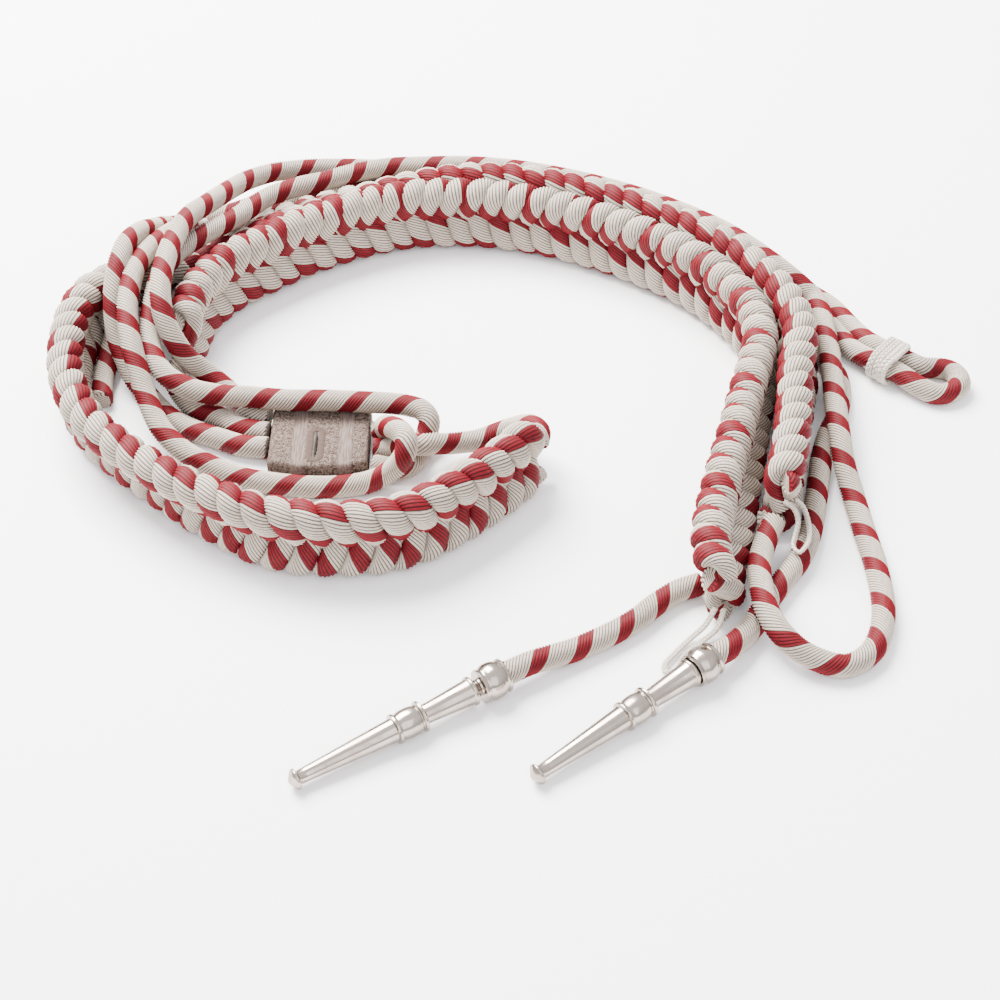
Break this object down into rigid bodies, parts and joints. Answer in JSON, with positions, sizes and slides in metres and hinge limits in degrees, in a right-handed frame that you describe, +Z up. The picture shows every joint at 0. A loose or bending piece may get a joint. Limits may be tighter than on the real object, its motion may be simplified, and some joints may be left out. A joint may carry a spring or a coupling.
{
  "type": "aiguillette",
  "caption": "Dress cord of two plaited lengths and loose twisted cords, gathered at a shoulder tab, with a button loop and turned metal points.",
  "frame": {"origin": "on the surface it lies on, under the middle of the whole", "axes": "+X to the viewer's right along the longest extent, +Y away from the viewer, +Z up"},
  "size_m": [0.3148, 0.3084, 0.0385],
  "materials": {
    "silver_thread": "ribbed silver gimp cord with a crimson stripe wound in",
    "crimson_thread": "ribbed gimp cord, crimson and silver",
    "pale_thread": "fine braided thread, off-white",
    "greige_cloth": "stitched cloth, matt",
    "nickel": "polished nickel silver"
  },
  "bodies": {
    "root": {"plait_short": "silver_thread", "plait_long": "silver_thread", "shoulder_tab": "greige_cloth", "button_cord": "silver_thread", "loop_cord": "crimson_thread", "tip_cord_long": "silver_thread", "tip_cord_short": "crimson_thread", "lead_cord_short": "crimson_thread", "lead_cord_long": "crimson_thread", "tucked_cord": "crimson_thread", "end_loop_short": "pale_thread", "end_loop_long": "pale_thread", "slider_knot": "pale_thread", "point_1": "nickel", "collar_1": "nickel", "point_2": "nickel", "collar_2": "nickel"}
  },
  "joints": []
}
